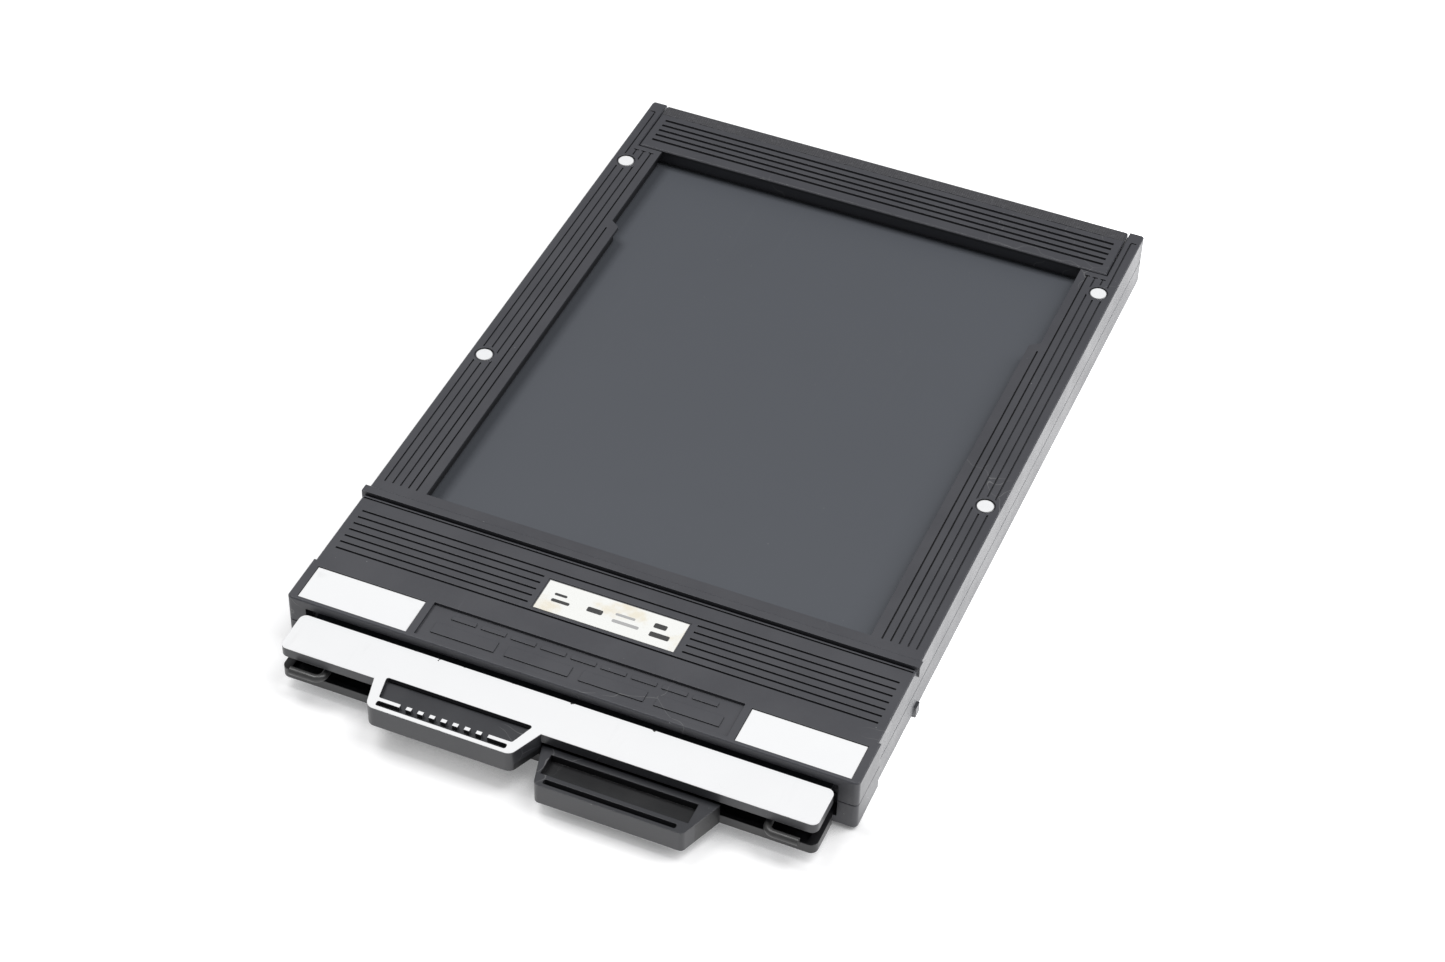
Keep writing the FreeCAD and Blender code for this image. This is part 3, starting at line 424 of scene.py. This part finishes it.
def paper_floor(name):
    """Pale seamless paper with a glow of its own, as the photo's background is over-exposed.

    The glow is stronger to the right of the holder, and fades under and beside it, so that the contact
    shadow stays.
    """
    graph = Graph(name)
    tone = graph.mix(graph.noise(3.0, 2.0), (0.59, 0.59, 0.595, 1.0), (0.61, 0.61, 0.615, 1.0))
    normal = graph.bump(graph.noise(900.0, 2.0), 0.01 * MM, 0.2)
    place = graph.add("SeparateXYZ", {"Vector": graph.place})
    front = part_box("upper_shell")[0].y
    beside = graph.remap(place.outputs["X"], RIGHT_GLOW_FROM, RIGHT_GLOW_FULL)
    behind_front = graph.remap(place.outputs["Y"], front, front + RIGHT_GLOW_BEHIND)
    openness = graph.openness(FLOOR_REACH, own=False)
    everywhere = graph.remap(openness, 0.10, 0.66, 0.0, FLOOR_GLOW)
    at_right = graph.math("MULTIPLY", graph.remap(openness, 0.02, 0.30, 0.0, RIGHT_GLOW),
                          graph.math("MULTIPLY", beside, behind_front))
    return graph.surface(tone, 0.8, normal, Emission_Color=(1.0, 1.0, 1.0, 1.0),
                         Emission_Strength=graph.math("ADD", everywhere, at_right))


def make_finishes():
    shell_low, shell_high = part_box("upper_shell")
    flap_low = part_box("upper_loading_flap")[0]
    tab_low, tab_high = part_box("lower_slide_handle")
    # Boxes where the black plastic is painted deep black as shade.
    window_walls_shade_box = (
        Vector((shell_low.x + WALLS_SIDE, shell_low.y + WALLS_START, LOW.z + WALLS_DEPTH)),
        Vector((shell_high.x - WALLS_SIDE, flap_low.y + WALLS_END, HIGH.z - WALLS_DEPTH)),
    )
    tab_recess_shade_box = (
        Vector((LOW.x, tab_low.y + RECESS_START, LOW.z)),
        Vector((HIGH.x, tab_high.y, tab_high.z - RECESS_DEPTH)),
    )
    return {
        "body_plastic": moulded_plastic(
            "body_plastic_grained", (0.052, 0.053, 0.061, 1.0), 0.42, 0.012 * MM, window_walls_shade_box),
        "handle_plastic": moulded_plastic(
            "handle_plastic_satin", (0.033, 0.034, 0.039, 1.0), 0.34, 0.008 * MM, tab_recess_shade_box),
        "slide_sheet": slide_sheet("slide_sheet_satin"),
        "white_facing": white_facing("facing_white"),
        "label_white": writing_label("label_matt_white"),
        "sticker_cream": aged_sticker("sticker_aged_cream"),
        "rivet_white": rivet_white("rivet_head_white"),
        "septum_black": painted_metal("septum_matt_black", 0.02, 0.6),
        "guide_black": painted_metal("guide_matt_black", 0.02, 0.55),
        "latch_black": painted_metal("latch_dark_wire", 0.05, 0.34),
        "spring_steel": bare_steel("spring_strip", 0.5, 0.3),
        "pin_steel": bare_steel("pin_steel", 0.45, 0.35),
        "velvet_black": velvet("velvet_pile"),
        "tape_black": cloth_tape("hinge_cloth_tape"),
    }


def dress_nodes(finishes):
    """Give every CAD node the finish of its slot."""
    for name, node in NODES.items():
        for slot in node.material_slots:
            slot.material = finishes[SLOT_OF[name]]


# Pieces --------------------------------------------------------------------------------------

def new_piece(name, mesh_maker, finish):
    """Object with a mesh that mesh_maker fills in a bmesh, in the row frame."""
    mesh = bpy.data.meshes.new(name)
    work = bmesh.new()
    mesh_maker(work)
    bmesh.ops.recalc_face_normals(work, faces=work.faces)
    work.to_mesh(mesh)
    work.free()
    piece = bpy.data.objects.new(name, mesh)
    bpy.context.scene.collection.objects.link(piece)
    mesh.materials.append(finish)
    return piece


def turned_over(half):
    """Matrix that carries the upper side's shape to the given side."""
    if half == "upper":
        return Matrix.Identity(4)
    middle = Matrix.Translation((0, 0, (LOW.z + HIGH.z) / 2))
    return middle @ Matrix.Rotation(math.pi, 4, "Y") @ middle.inverted()


def rounded_slab(work, low, high, radius, steps=5):
    """Thin slab between two corners, with rounded upright corners."""
    ring = []
    for corner in range(4):
        right = corner in (0, 3)
        back = corner in (0, 1)
        centre_x = high.x - radius if right else low.x + radius
        centre_y = high.y - radius if back else low.y + radius
        for step in range(steps + 1):
            angle = math.pi / 2 * (corner + step / steps)
            ring.append((centre_x + radius * math.cos(angle), centre_y + radius * math.sin(angle)))
    bottom = [work.verts.new((x, y, low.z)) for x, y in ring]
    top = [work.verts.new((x, y, high.z)) for x, y in ring]
    work.faces.new(bottom)
    work.faces.new(top)
    for index in range(len(ring)):
        after = (index + 1) % len(ring)
        work.faces.new((bottom[index], bottom[after], top[after], top[index]))


def sticker_print(half, part, ink, bars):
    """Plain bars printed on the size sticker, in place of its wording."""
    low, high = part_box("upper_size_sticker")
    length = high.x - low.x
    depth = high.y - low.y

    def build(work):
        for start, end, near, far in bars:
            rounded_slab(
                work,
                Vector((low.x + start * length, low.y + near * depth, high.z - PRINT_THICKNESS / 3)),
                Vector((low.x + end * length, low.y + far * depth, high.z + PRINT_THICKNESS)),
                PRINT_CORNER,
            )
        bmesh.ops.transform(work, matrix=turned_over(half), verts=work.verts)

    piece = new_piece(f"{half}_sticker_{part}", build, ink)
    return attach(piece, "holder")


def hinge_tape(half, finish):
    """Cloth hinge tape with an uneven edge, folded down over the flap's end."""
    low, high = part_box("upper_hinge_tape")
    flap_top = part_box("upper_loading_flap")[1].z
    thickness = high.z - (flap_top - TAPE_SEAT)
    rng = random.Random(11 if half == "upper" else 12)

    def jitter():
        return rng.uniform(-0.05, 0.05) * MM

    rough_edge = []
    drift = 0.0
    for _ in range(TAPE_COLUMNS + 1):
        drift = 0.9 * drift + jitter()
        rough_edge.append(low.y + TAPE_SET_BACK + drift + jitter())

    def build(work):
        rows = []
        for index, edge in enumerate(rough_edge):
            x = low.x + (high.x - low.x) * index / TAPE_COLUMNS
            section = (
                (edge, high.z - thickness), (edge + TAPE_EDGE_RUN, high.z - TAPE_EDGE_DROP),
                (high.y - TAPE_FOLD, high.z), (high.y, high.z - TAPE_FOLD), (high.y, low.z),
                (high.y - thickness, low.z), (high.y - thickness, high.z - thickness),
            )
            rows.append([work.verts.new((x, y, z)) for y, z in section])
        count = len(rows[0])
        for near, far in zip(rows, rows[1:]):
            for index in range(count):
                after = (index + 1) % count
                work.faces.new((near[index], near[after], far[after], far[index]))
        work.faces.new(rows[0])
        work.faces.new(rows[-1])
        bmesh.ops.transform(work, matrix=turned_over(half), verts=work.verts)

    piece = new_piece(f"{half}_cloth_tape", build, finish)
    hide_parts(f"{half}_hinge_tape")
    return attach(piece, f"{half}_flap")


def make_pieces(finishes):
    bold = print_ink("sticker_ink", 0.05)
    pale = print_ink("sticker_faded_ink", 0.42)
    for half in HALVES:
        sticker_print(half, "print", bold, STICKER_BARS)
        sticker_print(half, "faded_print", pale, STICKER_FADED_BARS)
        hinge_tape(half, finishes["tape_black"])


# Stage ---------------------------------------------------------------------------------------

def make_camera():
    data = bpy.data.cameras.new("camera")
    data.lens = CAMERA_LENS
    data.sensor_width = CAMERA_SENSOR
    data.clip_start = 0.01
    camera = bpy.data.objects.new("camera", data)
    bpy.context.scene.collection.objects.link(camera)
    flat = math.cos(CAMERA_ELEVATION)
    back = Vector((math.sin(CAMERA_AZIMUTH) * flat, -math.cos(CAMERA_AZIMUTH) * flat,
                   math.sin(CAMERA_ELEVATION)))
    target = (LOW + HIGH) / 2 + LOOK_FROM_CENTRE
    side = Vector((0, 0, 1)).cross(back).normalized()
    upward = back.cross(side)
    turn = Matrix((side, upward, back)).transposed() @ Matrix.Rotation(CAMERA_ROLL, 3, "Z")
    camera.matrix_world = Matrix.Translation(target + back * CAMERA_DISTANCE) @ turn.to_4x4()
    bpy.context.scene.camera = camera


def soft_light(name, position, size, power):
    """Square white area light that faces the holder."""
    data = bpy.data.lights.new(name, "AREA")
    data.shape = "SQUARE"
    data.size = size
    data.energy = power
    light = bpy.data.objects.new(name, data)
    bpy.context.scene.collection.objects.link(light)
    light.location = position
    light.rotation_mode = "QUATERNION"
    light.rotation_quaternion = (-Vector(position)).to_track_quat("-Z", "Y")


def make_stage():
    def sheet(work):
        corners = ((-1, -1), (1, -1), (1, 1), (-1, 1))
        work.faces.new([
            work.verts.new((x * FLOOR_HALF_SIDE, y * FLOOR_HALF_SIDE, LOW.z)) for x, y in corners
        ])

    floor = new_piece("floor", sheet, paper_floor("floor_paper"))
    world = bpy.data.worlds.new("studio")
    world.use_nodes = True
    background = world.node_tree.nodes["Background"]
    background.inputs["Color"].default_value = WORLD_COLOR
    background.inputs["Strength"].default_value = WORLD_STRENGTH
    bpy.context.scene.world = world
    for softbox in SOFTBOXES:
        soft_light(*softbox)
    bpy.context.scene.view_settings.view_transform = "Standard"


# Whole scene ---------------------------------------------------------------------------------


make_camera()
finishes = make_finishes()
dress_nodes(finishes)
make_pieces(finishes)
make_stage()
